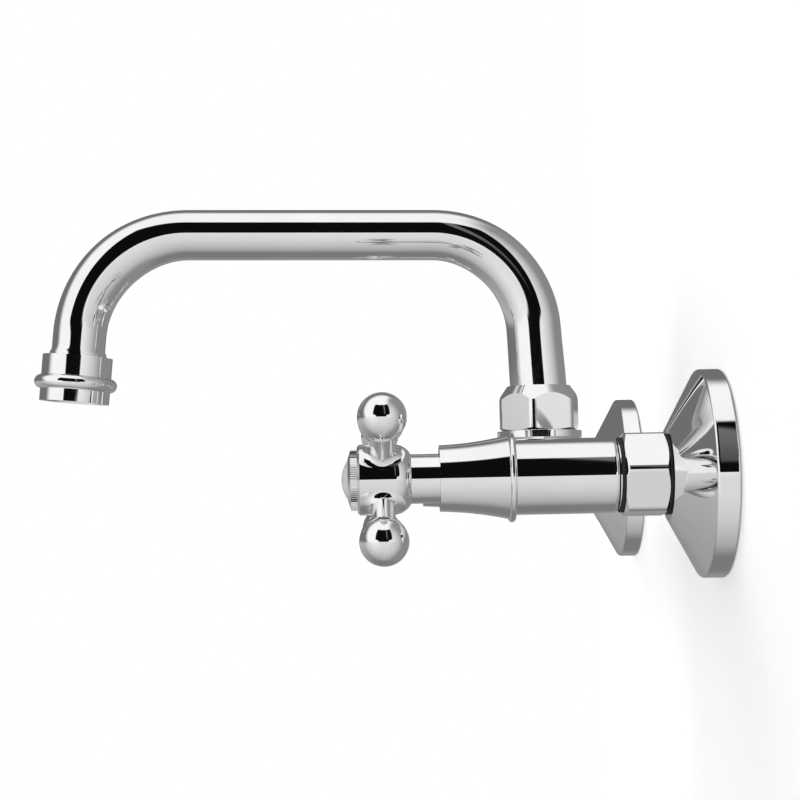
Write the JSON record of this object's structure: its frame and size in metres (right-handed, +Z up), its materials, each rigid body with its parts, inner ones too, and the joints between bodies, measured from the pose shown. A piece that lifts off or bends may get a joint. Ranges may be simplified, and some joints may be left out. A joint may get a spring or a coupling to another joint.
{
  "type": "wall-mounted kitchen tap",
  "caption": "Bridge kitchen tap for a wall: valve barrels on round flanges, cross handles with ball ends, and a swivelling tube spout with an aerator.",
  "frame": {"origin": "on the wall face, midway between the two inlets, at the height of the valve axes", "axes": "+X along the wall from the left inlet to the right one, +Y into the wall, +Z up; the tap stands out towards -Y"},
  "size_m": [0.2688, 0.2603, 0.1418],
  "materials": {
    "chrome_plate": "polished",
    "brass": "machined",
    "black_rubber": "matte",
    "nylon": "matte",
    "white_plastic": "satin",
    "stainless": "brushed",
    "porcelain": "glossy"
  },
  "bodies": {
    "base": {"bridge": "chrome_plate", "spout_nut": "chrome_plate", "left_wall_flange": "chrome_plate", "left_wall_tail": "chrome_plate", "left_union_nut": "chrome_plate", "left_union_washer": "black_rubber", "left_valve_body": "chrome_plate", "left_headwork": "brass", "left_gland_ring": "black_rubber", "left_bell": "chrome_plate", "right_wall_flange": "chrome_plate", "right_wall_tail": "chrome_plate", "right_union_nut": "chrome_plate", "right_union_washer": "black_rubber", "right_valve_body": "chrome_plate", "right_headwork": "brass", "right_gland_ring": "black_rubber", "right_bell": "chrome_plate"},
    "spout": {"spout_tail": "brass", "spout_ring_lower": "black_rubber", "spout_ring_upper": "black_rubber", "glide_ring": "nylon", "spout_tube": "chrome_plate", "spout_cup": "chrome_plate", "aerator_seal": "black_rubber", "aerator_housing": "chrome_plate", "aerator_insert": "white_plastic", "aerator_screen": "stainless"},
    "left_tap_handle": {"left_handle_hub": "chrome_plate", "left_handle_arm_1": "chrome_plate", "left_handle_arm_2": "chrome_plate", "left_handle_arm_3": "chrome_plate", "left_handle_arm_4": "chrome_plate", "left_spindle": "brass", "left_circlip": "stainless", "left_handle_screw": "stainless", "left_index_ring": "chrome_plate", "left_index_button": "porcelain"},
    "left_valve_plunger": {"left_plunger": "brass", "left_seat_washer": "black_rubber", "left_washer_screw": "brass"},
    "right_tap_handle": {"right_handle_hub": "chrome_plate", "right_handle_arm_1": "chrome_plate", "right_handle_arm_2": "chrome_plate", "right_handle_arm_3": "chrome_plate", "right_handle_arm_4": "chrome_plate", "right_spindle": "brass", "right_circlip": "stainless", "right_handle_screw": "stainless", "right_index_ring": "chrome_plate", "right_index_button": "porcelain"},
    "right_valve_plunger": {"right_plunger": "brass", "right_seat_washer": "black_rubber", "right_washer_screw": "brass"}
  },
  "joints": [
    {"name": "spout_swivel", "type": "hinge", "parent": "base", "child": "spout", "pos_m": [0, -0.0503, 0.03], "axis": [0, 0, 1], "range_deg": [-95, 95]},
    {"name": "left_handle_turn", "type": "hinge", "parent": "base", "child": "left_tap_handle", "pos_m": [-0.1, -0.1117, 0], "axis": [0, -1, 0], "range_deg": [0, 855]},
    {"name": "left_plunger_lift", "type": "slide", "parent": "base", "child": "left_valve_plunger", "axis": [0, -1, 0], "range_m": [0, 0.00356]},
    {"name": "right_handle_turn", "type": "hinge", "parent": "base", "child": "right_tap_handle", "pos_m": [0.1, -0.1117, 0], "axis": [0, -1, 0], "range_deg": [0, 855]},
    {"name": "right_plunger_lift", "type": "slide", "parent": "base", "child": "right_valve_plunger", "axis": [0, -1, 0], "range_m": [0, 0.00356]}
  ],
  "couplings": [
    {"joint": "left_plunger_lift", "follows": "left_handle_turn", "m_per_rad": 0.00023873},
    {"joint": "right_plunger_lift", "follows": "right_handle_turn", "m_per_rad": 0.00023873}
  ]
}
